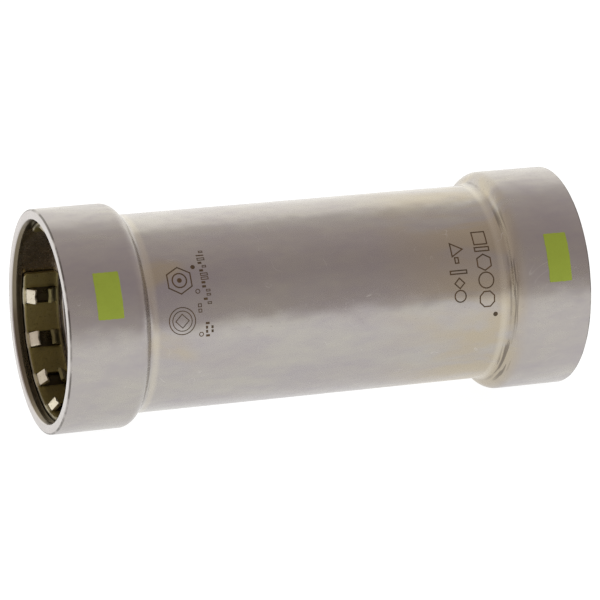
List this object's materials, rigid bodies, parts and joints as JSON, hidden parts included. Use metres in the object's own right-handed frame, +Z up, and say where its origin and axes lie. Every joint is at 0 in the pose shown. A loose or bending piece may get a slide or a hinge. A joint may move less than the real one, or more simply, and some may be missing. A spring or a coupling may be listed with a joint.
{
  "type": "press-fit pipe coupling",
  "caption": "Long steel slip coupling with a bell at each end; each bell holds a split grip ring, a separator ring and a seal for a pressed pipe joint.",
  "frame": {"origin": "centre of the coupling: on the tube's axis, halfway between the two mouths", "axes": "+X along the tube's axis towards the right mouth, +Z up as the coupling lies on its bells, +Y to the rear"},
  "size_m": [0.133, 0.0544, 0.0544],
  "materials": {
    "body_steel": "satin plated steel with faint warm heat tint",
    "grip_steel": "olive-bronze passivated spring steel",
    "separator_steel": "bright rolled strip",
    "seal_rubber": "moulded black rubber, lightly greased",
    "indicator_paint": "flat yellow-green marking paint",
    "laser_mark": "dark brown laser-etched line"
  },
  "bodies": {
    "coupling": {"fitting_body": "body_steel", "left_seal_ring": "seal_rubber", "right_seal_ring": "seal_rubber"},
    "left_grip": {"left_grip_ring": "grip_steel"},
    "left_separator": {"left_separator_ring": "separator_steel"},
    "right_grip": {"right_grip_ring": "grip_steel"},
    "right_separator": {"right_separator_ring": "separator_steel"}
  },
  "joints": [
    {"name": "left_grip_turn", "type": "hinge", "parent": "coupling", "child": "left_grip", "pos_m": [-0.05925, 0, 0], "axis": [1, 0, 0], "continuous": true},
    {"name": "left_separator_turn", "type": "hinge", "parent": "coupling", "child": "left_separator", "pos_m": [-0.0538, 0, 0], "axis": [1, 0, 0], "continuous": true},
    {"name": "right_grip_turn", "type": "hinge", "parent": "coupling", "child": "right_grip", "pos_m": [0.05925, 0, 0], "axis": [1, 0, 0], "continuous": true},
    {"name": "right_separator_turn", "type": "hinge", "parent": "coupling", "child": "right_separator", "pos_m": [0.0538, 0, 0], "axis": [1, 0, 0], "continuous": true}
  ]
}
